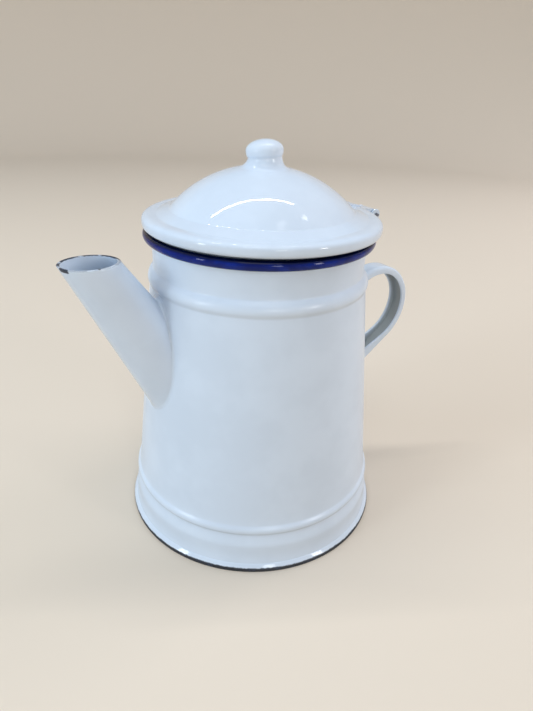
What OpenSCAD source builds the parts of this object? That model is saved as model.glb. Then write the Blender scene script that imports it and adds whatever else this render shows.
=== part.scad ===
// Enamelled steel coffee pot with a hinged domed lid.
// Origin: centre of the flat base. +Z up, handle and hinge towards +X, spout towards -X.
// Every sheet thickness counts the steel and its two coats of enamel.

/* [Body] */
// Height of the mouth, to the top of the rolled rim
body_h = 139.4; // [125:0.1:160]
// Radius at the very foot, over the base seam
foot_r = 63; // [58:0.1:70]
// Radius of the upright skirt above the foot
skirt_r = 59.9; // [55:0.1:68]
// Height at which the foot flare has become the skirt
flare_h = 8; // [5:0.1:12]
// Height of the top of the skirt
skirt_h = 15.2; // [13:0.1:20]
// Wall radius at the middle of the lower bead
wall_low_r = 58.2; // [54:0.1:64]
// Wall radius at the bottom of the upper bead
wall_high_r = 48; // [44:0.1:52]
// Radius of the straight neck
neck_r = 46.3; // [42:0.1:50]
// Thickness of the wall
wall_t = 1.1; // [0.8:0.1:2]

/* [Beads] */
// Height of the step from the skirt up to the lower bead
step_h = 2.4; // [1.5:0.1:4]
// Half of the lower bead's height
low_bead_half = 2.6; // [1.5:0.1:4]
// How far the lower bead stands proud of the wall
low_bead_proud = 1.15; // [0.5:0.05:2]
// Distance from the mouth down to the bottom of the upper bead
high_bead_drop = 22.6; // [20:0.1:30]
// Height of the upper bead
high_bead_h = 6.4; // [4:0.1:9]
// How far the upper bead stands proud of its chord
high_bead_proud = 1.5; // [0.5:0.05:2.5]

/* [Rolled rim] */
// Outer radius of the rolled rim
rim_r = 50; // [46:0.1:54]
// Radius of the rim roll's own section
roll_r = 2.1; // [1.6:0.1:3]
// Angle at which the roll ends, below and beside the neck
roll_end = -110; // [-120:1:-60]

/* [Base] */
// Thickness of the base disc
base_t = 1.2; // [0.8:0.1:2]
// Height of the base disc's upturned seam
seam_h = 2.6; // [2:0.1:4]

/* [Spout] */
// Distance of the mouth's middle from the pot's axis
spout_reach = 75; // [70:0.5:90]
// Height of the level spout mouth
spout_h = 133.5; // [115:0.1:150]
// Slope of the spout's axis
spout_slope = 59.7; // [50:0.1:65]
// Radius of the spout across its axis, at the mouth
spout_r = 10; // [8:0.1:12]
// Half of the cone's opening angle
spout_taper = 4.9; // [3:0.1:8]
// Thickness of the spout's wall
spout_t = 1.1; // [0.8:0.1:1.6]
// Width of the ledge round the hole behind the spout
spout_ledge = 3; // [1:0.1:5]

/* [Handle] */
// Distance of the grip's outermost point from the pot's axis
handle_reach = 91.4; // [84:0.1:110]
// Height of that point
handle_z = 91.3; // [80:0.1:100]
// Radius of the lower bend
low_bend_r = 22.4; // [16:0.1:28]
// Radius of the upper bend
high_bend_r = 19.7; // [14:0.1:24]
// Rise of the lower arm, for each unit of its length
low_arm_rise = 0.6; // [0.5:0.01:0.75]
// Fall of the upper arm towards the body, for each unit of its length
high_arm_fall = 0.28; // [0.1:0.01:0.6]
// Width of the strap
strap_w = 10; // [8:0.1:16]
// Depth of the strap's channel section
strap_d = 3.8; // [3:0.1:6]
// Thickness of the strap
strap_t = 1.3; // [1:0.1:2]
// How much the strap's flanges deepen towards the body, for each unit of an arm's length
arm_flare = 0.16; // [0:0.01:0.25]
// Width of the feet that hug the body
handle_foot_w = 14; // [12:0.5:20]
// Height of the feet
handle_foot_h = 17; // [14:0.5:24]

/* [Lid] */
// Gap between the lid's lip and the rim, when shut
lid_gap = 0.6; // [0.4:0.1:1.5]
// How far the shut lid sits towards its hinge
lid_set_back = 1.2; // [0:0.1:1.4]
// How far the lid's flange reaches past the rim
flange_reach = 1.2; // [0.5:0.1:4]
// Half width of the flange's roll
flange_half_w = 4.6; // [3:0.1:6]
// Half height of the flange's roll
flange_half_h = 2.3; // [1.8:0.1:3]
// Width of the cove, from the middle of the flange's roll to the dome
cove_w = 7.9; // [5:0.1:12]
// Height of that crease above the flange's crown
dome_rise = 4.4; // [3:0.1:6]
// Radius of the dome's sphere
dome_sphere_r = 53.5; // [48:0.5:80]
// Thickness of the lid's sheet
lid_t = 1.2; // [0.8:0.1:1.8]
// Narrowest gap between the mouth and the collar inside it
collar_gap = 0.6; // [0.3:0.1:3]
// Depth of the collar below the rim's top
collar_drop = 6; // [3:0.5:12]
// Thickness of the collar
collar_t = 1; // [0.8:0.1:1.5]

/* [Knob] */
// Radius of the knob's flared foot
knob_foot_r = 11.5; // [9:0.1:14]
// Radius of the knob's waist
knob_waist_r = 7.1; // [5:0.1:8]
// Radius of the knob's head
knob_head_r = 7.8; // [7:0.1:12]
// Height of the waist above the dome's top
knob_waist_h = 3.4; // [2:0.1:6]
// Height of the widest part of the head above the waist
knob_head_h = 2.4; // [1.5:0.1:4]
// Height of the crown of the head above its widest part
knob_crown_h = 4.3; // [3:0.1:7]
// Thickness of the knob's sheet
knob_t = 1; // [0.8:0.1:1.5]

/* [Hinge] */
// How far the hinge pin lies beyond the rim
hinge_out = 11.4; // [8:0.1:16]
// Height of the hinge pin above the rim's top
hinge_rise = 1.4; // [1:0.1:4]
// Radius of the pin
pin_r = 0.8; // [0.7:0.05:1.3]
// How far each end of the pin stands out of its ear
pin_proud = 1.3; // [0.8:0.1:2]
// Outer radius of the rolled knuckle
knuckle_r = 2.3; // [2:0.1:3.2]
// Width of the knuckle and its leaf
leaf_w = 9; // [8:0.1:20]
// Thickness of the leaf
leaf_t = 1.2; // [0.8:0.1:1.5]
// Thickness of the bracket's sheet
ear_t = 1.2; // [0.8:0.1:1.6]
// Gap between the knuckle and each ear
ear_gap = 0.35; // [0.3:0.05:0.8]
// Running clearance of the pin in the knuckle, on the radius
pin_fit = 0.06; // [0.02:0.01:0.1]
// Clearance of the pin in the ears, on the radius
ear_fit = 0.02; // [0.01:0.01:0.1]

/* [Hidden] */
$fn = 96;
enamel_white = "whitesmoke";
dark_steel = "dimgray";
cut = 1;                                  // how far cutting solids run past what they cut

roll_x = rim_r - roll_r;                  // middle of the rim roll's section
roll_z = body_h - roll_r;
neck_top = roll_z - 2 * roll_r;           // where the neck starts to flare into the roll
high_bead_z = body_h - high_bead_drop;    // bottom of the upper bead
neck_z = high_bead_z + high_bead_h;       // top of the upper bead, bottom of the neck
low_bead_bottom = skirt_h + step_h;
low_bead_z = low_bead_bottom + low_bead_half;
low_bead_top = low_bead_z + low_bead_half;
seam_t = base_t * 2 / 3;                  // thickness of the turned-up seam
flare = foot_r - seam_t - skirt_r;        // how far the wall turns out at the foot
flare_r = (flare_h * flare_h + flare * flare) / (2 * flare);

lip_z = body_h + lid_gap;                 // underside of the lid's lip
flange_x = rim_r + flange_reach - flange_half_w;  // middle of the flange's roll
lip_angle = -49;                          // where the roll's section ends, at the lip
flange_z = lip_z - flange_half_h * sin(lip_angle);
crown_z = flange_z + flange_half_h;
crease_z = crown_z + dome_rise;
dome_r = flange_x - cove_w;               // radius at which the dome springs from its cove
cove_angle = 2 * atan(dome_rise / cove_w);
cove_r = cove_w / sin(cove_angle);
dome_centre_z = crease_z - sqrt(dome_sphere_r * dome_sphere_r - dome_r * dome_r);
dome_top = dome_centre_z + dome_sphere_r;
mouth_r = min(neck_r - wall_t, roll_x - roll_r);  // where the mouth is narrowest
collar_r = mouth_r - lid_set_back - collar_gap;
hinge_x = rim_r + hinge_out;
hinge_z = body_h + hinge_rise;
ear_y = leaf_w / 2 + ear_gap;             // inner face of each ear
pin_end = ear_y + ear_t + pin_proud;
ear_r = knuckle_r + 0.2;                  // rounding of the ears' ends
ear_bite = 0.05;                          // how far under that rounding the ear's outer edge runs in
ear_rise = 4;                             // how far the ears' lower edge runs out from the neck
rim_clear = 1.8;                          // room between the ears and the rolled rim
saddle_margin = 0.8;                      // from the top of the bead to the bracket's saddle
leaf_climb = 28;                          // how far the leaf climbs the lid's cove, in degrees
leaf_bite = 0.15;                         // how far under the knuckle's surface the leaf's top runs in
strap_round = strap_t + 0.5;              // outer rounding of the strap's edges
low_arm_slope = asin(low_arm_rise);
high_arm_slope = asin(high_arm_fall);
arm_length = handle_reach * 0.55;         // the arms reach past the wall and are trimmed to it
knob_foot_edge = 0.4;                     // thickness left at the edge of the knob's foot
spout_length = spout_reach * 1.12;        // the cone runs on into the body and is trimmed to it
spout_above = 25;                         // how far the cone runs past its mouth before the cut

// Points of an arc about (x, y), from angle a0 to a1, in n steps; ry makes it elliptical.
function arc(x, y, r, a0, a1, n, ry) =
    [for (i = [0:n]) let (a = a0 + (a1 - a0) * i / n)
        [x + r * cos(a), y + (is_undef(ry) ? r : ry) * sin(a)]];

// The points of a list in the opposite order.
function backwards(list) = [for (i = [len(list) - 1:-1:0]) list[i]];

// The points of a list in the opposite order, on the other side of the x axis.
function mirrored(list) = [for (p = backwards(list)) [p[0], -p[1]]];

// A list of points moved towards the axis.
function inset(list, t) = [for (p = list) [p[0] - t, p[1]]];

// Radius of the straight tapered wall at a height.
function wall_at(z) =
    wall_low_r + (wall_high_r - wall_low_r) * (z - low_bead_z) / (high_bead_z - low_bead_z);
function wall_point(z) = [wall_at(z), z];

// Radius of the flared foot at a height: an arc that is upright where it meets the skirt.
function foot_at(z) = skirt_r + flare_r - sqrt(flare_r * flare_r - pow(flare_h - z, 2));

// A swaged bead: a circular bump on the chord from p to q.
function bead(p, q, proud, n) =
    let (half = (q[1] - p[1]) / 2, r = (half * half + proud * proud) / (2 * proud))
    [for (i = [0:n]) let (s = i / n, dz = (2 * s - 1) * half)
        [p[0] + (q[0] - p[0]) * s + sqrt(r * r - dz * dz) - (r - proud), p[1] + (q[1] - p[1]) * s]];

// The outside of the wall from the base to the top of the neck.
function foot_points(z0, z1, n) = [for (i = [0:n]) let (z = z0 + (z1 - z0) * i / n) [foot_at(z), z]];
function step_points(n) =
    [for (i = [0:n]) let (s = i / n)
        [skirt_r + (wall_at(low_bead_bottom) - skirt_r) * (1 - cos(180 * s)) / 2,
         skirt_h + step_h * s]];
function wall_points() = concat(
    foot_points(base_t, flare_h, 8),
    step_points(6),
    bead(wall_point(low_bead_bottom), wall_point(low_bead_top), low_bead_proud, 10),
    bead([wall_high_r, high_bead_z], [neck_r, neck_z], high_bead_proud, 12),
    [[neck_r, neck_top]]);

// The outside of the lid, from its lip over the flange, the cove and the dome to the axis.
// t is how far inside the sheet's outer face the line runs.
function lid_points(t, cove_end) = concat(
    arc(flange_x, flange_z, flange_half_w - t, lip_angle, 90, 14, flange_half_h - t),
    arc(flange_x, crown_z + cove_r, cove_r + t, 265, 270 - cove_angle * cove_end, 7),
    arc(0, dome_centre_z, dome_sphere_r - t, acos(dome_r / dome_sphere_r), 90, 18));
function lid_outer() = lid_points(0, 0.98);
function lid_inner() = lid_points(lid_t, 0.88);

// Everything inside the wall's outer face: what is welded to the wall is trimmed to it.
module body_core() {
    rotate_extrude()
        polygon(concat([[0, base_t]], wall_points(), [[0, neck_top]]));
}

// Everything under the lid's outer face, where the shut lid sits.
module lid_core() {
    translate([lid_set_back, 0, 0])
        rotate_extrude()
            polygon(concat([[0, lip_z]], lid_outer()));
}

// A cone on the spout's axis, thinner than the spout by less, from a to b along the axis.
module spout_cone(less, a, b) {
    translate([-spout_reach, 0, spout_h])
        rotate([0, 90 + spout_slope, 0])
            translate([0, 0, a])
                cylinder(h = b - a, r1 = spout_r + a * tan(spout_taper) - less,
                         r2 = spout_r + b * tan(spout_taper) - less);
}

// The wall, from the flared foot through both swaged beads to the rolled rim.
module body_shell() {
    outer = wall_points();
    roll_inside = arc(roll_x, roll_z, roll_r - wall_t, 180, roll_end, 28);
    roll_outside = arc(roll_x, roll_z, roll_r, roll_end, 180, 28);
    color(enamel_white)
        difference() {
            rotate_extrude()
                polygon(concat(outer, roll_inside, roll_outside, backwards(inset(outer, wall_t))));
            spout_cone(spout_t + spout_ledge, spout_length / 4, spout_length);
        }
}

// The flat bottom, with its edge turned up round the foot of the wall.
module base_disc() {
    seam = foot_points(base_t, seam_h, 3);
    color(enamel_white)
        rotate_extrude()
            polygon(concat([[0, 0], [foot_r - base_t / 2, 0], [foot_r, base_t / 2]],
                           inset(seam, -seam_t), backwards(seam), [[0, base_t]]));
}

// A tapered tube, cut level at the mouth and scribed to the wall.
module spout() {
    color(enamel_white)
        difference() {
            spout_cone(0, -spout_above, spout_length);
            spout_cone(spout_t / cos(spout_taper), -spout_above - cut, spout_length + cut);
            translate([-spout_reach - spout_above, -spout_above, spout_h])
                cube([2 * spout_above, 2 * spout_above, 2 * spout_above]);
            body_core();
        }
}

// The strap's channel section: x is outwards from the grip's middle, y is across the strap.
module strap_section() {
    w = strap_w / 2;
    d = strap_d / 2;
    inner_r = strap_round - strap_t;
    half = concat(
        [[-d, w]],
        arc(d - strap_round, w - strap_round, strap_round, 90, 0, 5));
    half_inside = concat(
        arc(d - strap_round, w - strap_round, inner_r, 0, 90, 3),
        [[-d, w - strap_t]]);
    polygon(concat(half, mirrored(half), mirrored(half_inside), half_inside));
}

// A bend of the strap about the middle of the bend: it starts at an angle and turns by another.
module strap_bend(r, from, turn) {
    rotate_extrude(start = from, angle = turn)
        translate([r, 0])
            strap_section();
}

// A straight arm of the strap, level, that comes in to a bend at its lowest point (side -1)
// or its highest (side 1). Its flanges deepen towards the body.
module strap_arm(r, side) {
    inner = r - strap_d / 2;
    translate([-arm_length, side * r, 0])
        rotate([side * 90, 0, 0])
            rotate([0, 90, 0])
                linear_extrude(height = arm_length)
                    strap_section();
    for (edge = [-1, 1])
        translate([0, 0, edge * (strap_w - strap_t) / 2])
            linear_extrude(height = strap_t, center = true)
                polygon([[0, side * (inner + strap_t)], [0, side * inner],
                         [-arm_length, side * (inner - arm_flare * arm_length)],
                         [-arm_length, side * (inner + strap_t)]]);
}

// The lower (side -1) or upper (side 1) half of the grip, about its bend's middle: a bend from
// the grip's outermost point, and an arm that slopes down to the body.
module half_grip(r, slope, side) {
    lap = side * slope / 2;
    strap_bend(r, 0, lap);
    rotate([0, 0, slope]) {
        strap_bend(r, side * 90, lap / 2 - slope - side * 90);
        strap_arm(r, side);
    }
}

// A foot of the strap: a rounded tab that hugs the wall at height z.
module handle_foot(z) {
    r = handle_foot_w / 2;
    straight = handle_foot_h - handle_foot_w;
    intersection() {
        translate([0, 0, low_bead_top])
            cylinder(h = high_bead_z - low_bead_top, r1 = wall_at(low_bead_top) + strap_t,
                     r2 = wall_high_r + strap_t);
        translate([wall_high_r / 2, 0, z])
            rotate([90, 0, 90])
                linear_extrude(height = foot_r)
                    union() {
                        square([handle_foot_w, straight], center = true);
                        translate([0, straight / 2])
                            circle(r);
                        translate([0, -straight / 2])
                            circle(r);
                    }
    }
}

// The grip: one pressed strap, bent to a loop, with a foot at each end.
module handle() {
    low_x = handle_reach - low_bend_r;
    low_end_x = low_x + low_bend_r * sin(low_arm_slope);
    low_end_z = handle_z - low_bend_r * cos(low_arm_slope);
    low_foot_z = low_end_z - (low_end_x - wall_at(low_end_z / 2)) * tan(low_arm_slope);
    high_x = handle_reach - high_bend_r;
    high_end_x = high_x - high_bend_r * sin(high_arm_slope);
    high_end_z = handle_z + high_bend_r * cos(high_arm_slope);
    high_foot_z = high_end_z - (high_end_x - wall_at(high_end_z)) * tan(high_arm_slope);
    color(enamel_white)
        difference() {
            union() {
                rotate([90, 0, 0]) {
                    translate([low_x, handle_z, 0])
                        half_grip(low_bend_r, low_arm_slope, -1);
                    translate([high_x, handle_z, 0])
                        half_grip(high_bend_r, high_arm_slope, 1);
                }
                handle_foot(low_foot_z);
                handle_foot(high_foot_z);
            }
            body_core();
        }
}

// The side of the hinge bracket: from the neck, out under the rim and up to the pin.
module ear_outline() {
    bottom = neck_z + saddle_margin;
    top = neck_top;
    rise_x = neck_r + ear_rise;
    run = hinge_x - rise_x;
    climb = hinge_z - bottom;
    touch_r = ear_r - ear_bite;
    lean = atan(run / climb) + asin(touch_r / sqrt(run * run + climb * climb));
    polygon([[neck_r - cut, bottom], [rise_x, bottom],
             [hinge_x + touch_r * cos(lean), hinge_z - touch_r * sin(lean)],
             [hinge_x, hinge_z], [hinge_x - ear_r, hinge_z],
             [hinge_x - ear_r, hinge_z - ear_r], [rim_r + rim_clear, top], [neck_r - cut, top]]);
    translate([hinge_x, hinge_z])
        circle(ear_r);
}

// A bracket bent from one sheet: a saddle on the neck and two ears that hold the pin.
module hinge_bracket() {
    bottom = neck_z + saddle_margin;
    color(enamel_white)
        difference() {
            union() {
                for (side = [-1, 1])
                    translate([0, side * (ear_y + ear_t / 2), 0])
                        rotate([90, 0, 0])
                            linear_extrude(height = ear_t, center = true)
                                ear_outline();
                intersection() {
                    translate([0, 0, bottom])
                        cylinder(h = neck_top - bottom, r = neck_r + ear_t);
                    translate([neck_r / 2, -ear_y - ear_t, bottom])
                        cube([neck_r, 2 * (ear_y + ear_t), neck_top - bottom]);
                }
            }
            body_core();
            translate([hinge_x, 0, hinge_z])
                rotate([90, 0, 0])
                    cylinder(h = 2 * pin_end, r = pin_r + ear_fit, center = true);
        }
}

// A plain wire pin through both ears, its ends eased.
module hinge_pin() {
    ease = pin_r / 4;
    color(dark_steel)
        translate([hinge_x, 0, hinge_z])
            rotate([90, 0, 0])
                rotate_extrude()
                    polygon([[0, -pin_end], [pin_r - ease, -pin_end], [pin_r, -pin_end + ease],
                             [pin_r, pin_end - ease], [pin_r - ease, pin_end], [0, pin_end]]);
}

// The pressed lid: rolled flange, cove and dome in one sheet.
module lid_shell() {
    color(enamel_white)
        translate([lid_set_back, 0, 0])
            rotate_extrude()
                polygon(concat(lid_outer(), backwards(lid_inner())));
}

// The collar that drops inside the mouth, scribed to the underside of the lid.
module lid_collar() {
    low = body_h - collar_drop;
    above = dome_top + cut;
    color(enamel_white)
        translate([lid_set_back, 0, 0])
            rotate_extrude()
                difference() {
                    polygon([[collar_r - collar_t, low], [collar_r - collar_t / 2, low],
                             [collar_r, low + collar_t / 2], [collar_r, dome_top],
                             [collar_r - collar_t, dome_top]]);
                    polygon(concat(lid_inner(), [[0, above], [foot_r, above], [foot_r, lip_z]]));
                }
}

// The knob: a hollow pressing with a flared foot, a waist and a domed head.
module knob() {
    on_dome = sqrt(dome_sphere_r * dome_sphere_r - knob_foot_r * knob_foot_r);
    foot_z = dome_centre_z + on_dome + knob_foot_edge;
    waist_z = dome_top + knob_waist_h;
    head_z = waist_z + knob_head_h;
    flare_w = knob_foot_r - knob_waist_r;
    flare_d = waist_z - foot_z;
    outer = concat(
        [[0, dome_centre_z], [knob_foot_r, dome_centre_z]],
        arc(knob_foot_r, waist_z, flare_w, 270, 180, 10, flare_d),
        arc(knob_waist_r, head_z, knob_head_r - knob_waist_r, 280, 360, 5, knob_head_h),
        arc(0, head_z, knob_head_r, 6, 90, 12, knob_crown_h));
    hollow = concat(
        [[0, dome_centre_z], [knob_foot_r, dome_centre_z]],
        arc(knob_foot_r, waist_z, flare_w + knob_t, 270, 180, 10, flare_d + knob_t),
        arc(0, head_z, knob_head_r - knob_t, 6, 90, 12, knob_crown_h - knob_t));
    color(enamel_white)
        translate([lid_set_back, 0, 0])
            rotate_extrude()
                difference() {
                    polygon(outer);
                    polygon(hollow);
                    polygon(concat([[0, lip_z]], lid_outer()));
                }
}

// The lid's half of the hinge: a leaf on the flange, rolled round the pin at its end.
module hinge_leaf() {
    crown_x = flange_x + lid_set_back;
    cove_z = crown_z + cove_r;
    run = hinge_x - crown_x;
    drop = crown_z + leaf_t - hinge_z;
    top_r = knuckle_r - leaf_bite;
    under_r = top_r - leaf_t;
    dip = atan(drop / run) - asin(top_r / sqrt(run * run + drop * drop));
    outline = concat(
        arc(crown_x, cove_z, cove_r - leaf_t, 270 - leaf_climb, 270, 6),
        [[hinge_x + top_r * sin(dip), hinge_z + top_r * cos(dip)],
         [hinge_x + under_r * sin(dip), hinge_z + under_r * cos(dip)]],
        arc(crown_x, cove_z, cove_r + leaf_t / 2, 270, 270 - leaf_climb, 6));
    color(enamel_white)
        difference() {
            rotate([90, 0, 0]) {
                linear_extrude(height = leaf_w, center = true)
                    polygon(outline);
                translate([hinge_x, hinge_z, 0])
                    cylinder(h = leaf_w, r = knuckle_r, center = true);
            }
            lid_core();
            translate([hinge_x, 0, hinge_z])
                rotate([90, 0, 0])
                    cylinder(h = 2 * pin_end, r = pin_r + pin_fit, center = true);
        }
}

body_shell();
base_disc();
spout();
handle();
hinge_bracket();
hinge_pin();
lid_shell();
lid_collar();
knob();
hinge_leaf();
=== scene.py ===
"""Looks of an enamelled steel coffee pot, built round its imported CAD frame.

Shapes are worked out in millimetres, in the frame's own axes, and become metres in the meshes.
The handle and hinge lie towards +X, the spout towards -X, and the pot stands on z = 0.
"""

import math

import bpy
import numpy as np
from mathutils import Matrix, Vector


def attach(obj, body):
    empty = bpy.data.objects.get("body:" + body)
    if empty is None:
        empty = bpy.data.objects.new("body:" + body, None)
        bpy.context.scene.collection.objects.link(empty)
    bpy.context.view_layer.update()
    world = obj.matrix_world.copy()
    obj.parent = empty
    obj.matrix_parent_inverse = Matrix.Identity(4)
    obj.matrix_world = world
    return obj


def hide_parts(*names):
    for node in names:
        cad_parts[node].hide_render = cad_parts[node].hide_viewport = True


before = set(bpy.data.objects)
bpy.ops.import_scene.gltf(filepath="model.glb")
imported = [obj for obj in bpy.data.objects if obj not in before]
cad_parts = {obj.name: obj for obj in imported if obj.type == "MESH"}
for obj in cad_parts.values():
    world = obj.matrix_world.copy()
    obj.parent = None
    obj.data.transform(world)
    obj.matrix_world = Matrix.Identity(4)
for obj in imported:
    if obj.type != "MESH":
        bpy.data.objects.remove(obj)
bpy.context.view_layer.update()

MM = 0.001


# ---------------------------------------------------------------- sizes

def corners(mesh):
    """The corners of a mesh, in millimetres."""
    flat = np.empty(len(mesh.vertices) * 3)
    mesh.vertices.foreach_get("co", flat)
    return flat.reshape(-1, 3) / MM


def points_of(node):
    """The corners of a CAD node, in millimetres."""
    return corners(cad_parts[node].data)


def top_of(node):
    """Height of a CAD node's highest corner."""
    return points_of(node)[:, 2].max()


def widest(node, low=-1.0, high=999.0, middle=0.0):
    """Largest distance of a node's points from the upright line at x = middle, between two heights."""
    p = points_of(node)
    p = p[(p[:, 2] >= low) & (p[:, 2] <= high)]
    return np.hypot(p[:, 0] - middle, p[:, 1]).max()


LID_ALONG = points_of("lid_shell")[:, 0]
SET_BACK = (LID_ALONG.max() + LID_ALONG.min()) / 2     # x of the lid's axis

BODY_TOP = top_of("body_shell")
SHEET = 1.1                    # wall, with both coats of enamel
BASE_SHEET = 1.2
SEAM_TOP = top_of("base_disc")
FOOT_R = widest("base_disc")
SEAM_SHEET = 0.8               # the seam's edge is feathered out over SEAM_FADE, from SEAM_OVER above its top
SEAM_FADE, SEAM_OVER = 1.9, 0.8
SKIRT_R = 60.0
FLARE_TOP, SKIRT_TOP = 9.0, 11.5       # heights of the skirt's two ends, above the flared foot
GROOVE = (58.3, 18.2)          # radius and height of the groove under the lower bead
LOW_BEAD_HIGH = 22.6
LOW_BEAD_PROUD = 1.2
LOW_BEAD_FADE = (0.2, 4.5)     # the wall stands this much out above the bead, and loses it over this height
HIGH_BEAD_LOW = BODY_TOP - 22.6
HIGH_BEAD_HIGH = HIGH_BEAD_LOW + 6.4
HIGH_BEAD_PROUD = 1.5
TAPER_LOW = 20.2               # height at which the taper has its lower radius
WALL_LOW_R = 58.2
WALL_HIGH_R = 48.0             # radius under the upper bead
WALL_LEAN = 0.105              # upward part of the tapered wall's normal, for 1 outwards
NECK_R = 46.3
ROLL_R = 2.1
RIM_R = widest("body_shell", BODY_TOP - 3)
ROLL_X = RIM_R - ROLL_R
ROLL_Z = BODY_TOP - ROLL_R
ROLL_FROM, ROLL_TO = -138, 178         # degrees round the roll, from the neck's outside to its inside
SUNK = -0.5                    # hidden edges of the spout end this far inside the wall's face

SPOUT_MOUTH = np.array([-75.0, 0, 133.5])      # the mouth's middle
SPOUT_SLOPE = math.radians(59.7)
SPOUT_DOWN = np.array([math.cos(SPOUT_SLOPE), 0, -math.sin(SPOUT_SLOPE)])
SPOUT_TAPER = math.tan(math.radians(4.9))
SPOUT_R = 10.0
SPOUT_SHEET = 1.1
SPOUT_LIP = 0.45               # height of the lip's round edge
HOLE_LEDGE = 3.0               # wall left round the hole behind the spout
HOLE_SPAN = (18.0, 62.0)       # the stretch of the spout's axis along which the hole is cut
PAST_WALL = 75.0               # a length down the axis at which every line of the spout is inside the pot
COVE_R = 1.3                   # radius of the enamel where the spout meets the wall
COVE_REACH = (0.7, 4.2)        # least and greatest distance from the meeting line to the cove's edges
COVE_LIFT = 0.12               # the cove's curve aims this far out of the meeting line

GRIP_STEP = 0.15               # distance between the points of the grip's middle line
GRIP_REACH = 91.4
GRIP_Z = 91.3
GRIP_LOW_R, GRIP_HIGH_R = 22.4, 19.7
GRIP_LOW_SLOPE, GRIP_HIGH_SLOPE = math.asin(0.6), math.asin(0.28)
ARM_LENGTH = 48.0              # the arms start inside the wall and are scribed to it
ARM_FLARE = 0.16               # deepening of the flanges for each unit of an arm's length
GRIP_START = 20.0              # a length along the grip at which it is still inside the wall
STRAP_W, STRAP_D, STRAP_T = 10.0, 3.8, 1.3
WELD, WELD_REACH = 0.9, 2.5    # swelling of the strap at the wall, and the length over which it dies out
GRIP_FOOT_W, GRIP_FOOT_H, GRIP_FOOT_SUNK = 14.0, 17.0, -0.35

LIP_Z = BODY_TOP + 0.6
FLANGE_R = widest("lid_shell", LIP_Z, LIP_Z + 4, SET_BACK)
FLANGE_W, FLANGE_H, FLANGE_DROP = 6.0, 2.9, 3.0
FLANGE_POWER = 3.2             # the flange's section is a superellipse of this power
LIP_ANGLE = -55.0
FLANGE_X = FLANGE_R - FLANGE_W
FLANGE_Z = LIP_Z + FLANGE_DROP * math.sin(math.radians(-LIP_ANGLE)) ** (2 / FLANGE_POWER)
CROWN_Z = FLANGE_Z + FLANGE_H
DOME_R, DOME_TOP = 53.5, BODY_TOP + 25.57
DOME_Z = DOME_TOP - DOME_R
CREASE_R = 39.5                # where the dome meets the ring round it
CREASE_Z = DOME_Z + math.sqrt(DOME_R ** 2 - CREASE_R ** 2)
LID_SHEET = 1.2
COLLAR_R, COLLAR_SHEET, COLLAR_DROP = 43.4, 1.0, 6.0

KNOB_FOOT_R, KNOB_WAIST_R, KNOB_HEAD_R = 11.5, 7.1, 7.8
KNOB_TOP = top_of("knob")
KNOB_HEAD_Z = KNOB_TOP - 4.3
KNOB_WAIST_Z = KNOB_HEAD_Z - 2.4
KNOB_LEAN, KNOB_LEAN_COMPASS = math.radians(5.5), math.radians(33)
KNOB_LEAN_LOW, KNOB_LEAN_SPAN = -3.5, 4.5      # the lean comes in over this span of height, about the waist

HINGE_X, HINGE_Z = RIM_R + 11.4, BODY_TOP + 1.4
PIN_R, PIN_OUT, KNUCKLE_R = 0.8, 1.3, 2.3
LEAF_W, LEAF_START = 9.0, 1.2          # width, and distance of its inner end from the lid's crease
LEAF_OVER, LEAF_UNDER = 0.75, 0.6      # faces of the leaf, above and below the lid's outer face
EAR_Y, EAR_T = LEAF_W / 2 + 0.35, 1.2
EAR_R = KNUCKLE_R + 0.2
BRACKET_LOW, BRACKET_HIGH = HIGH_BEAD_HIGH + 0.8, ROLL_Z - 2 * ROLL_R

ENAMEL_SOFT, WALL_SOFT = 0.38, 0.5     # how far enamel rounds the corners of the steel under it
TURNS = 240                    # points round the pot


# ---------------------------------------------------------------- curves

def arc(x, y, rx, ry, start, end, count):
    """Points (x + rx cos t, y + ry sin t), for t from start to end in degrees."""
    t = np.radians(np.linspace(start, end, count))
    return np.stack([x + rx * np.cos(t), y + ry * np.sin(t)], 1)


def line(a, b, count=2):
    """Evenly spaced points on the straight line from a to b."""
    return np.linspace(a, b, count)


def all_round(count):
    """Angles evenly spaced over one turn."""
    return np.linspace(0, 2 * math.pi, count, endpoint=False)


def unit(vectors):
    """Each row divided by its length."""
    return vectors / np.linalg.norm(vectors, axis=1, keepdims=True)


def right_of(legs):
    """The unit vectors that point to the right of each leg (a, b): (b, -a) over its length."""
    return unit(np.stack([legs[:, 1], -legs[:, 0]], 1))


def even(points, step):
    """The same path with points a fixed step apart along it."""
    along = np.concatenate([[0], np.cumsum(np.linalg.norm(np.diff(points, axis=0), axis=1))])
    s = np.linspace(0, along[-1], int(along[-1] / step) + 2)
    return np.stack([np.interp(s, along, points[:, k]) for k in range(points.shape[1])], 1)


def soften(points, width, closed=False):
    """A path averaged over a bell-shaped window of the given width, so that its corners turn round.

    An open path keeps its ends, because it is carried on past them by its own point reflection.
    """
    step = width / 6
    fine = even(np.concatenate([points, points[:1]]) if closed else points, step)
    reach = 18
    window = np.exp(-0.5 * (np.arange(-reach, reach + 1) * step / width) ** 2)
    window /= window.sum()
    if closed:
        fine = fine[:-1]
        longer = np.concatenate([fine[-reach:], fine, fine[:reach]])
    else:
        head = 2 * fine[0] - fine[reach:0:-1]
        tail = 2 * fine[-1] - fine[-2:-reach - 2:-1]
        longer = np.concatenate([head, fine, tail])
    return np.stack([np.convolve(longer[:, k], window, "valid") for k in range(points.shape[1])], 1)


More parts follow.
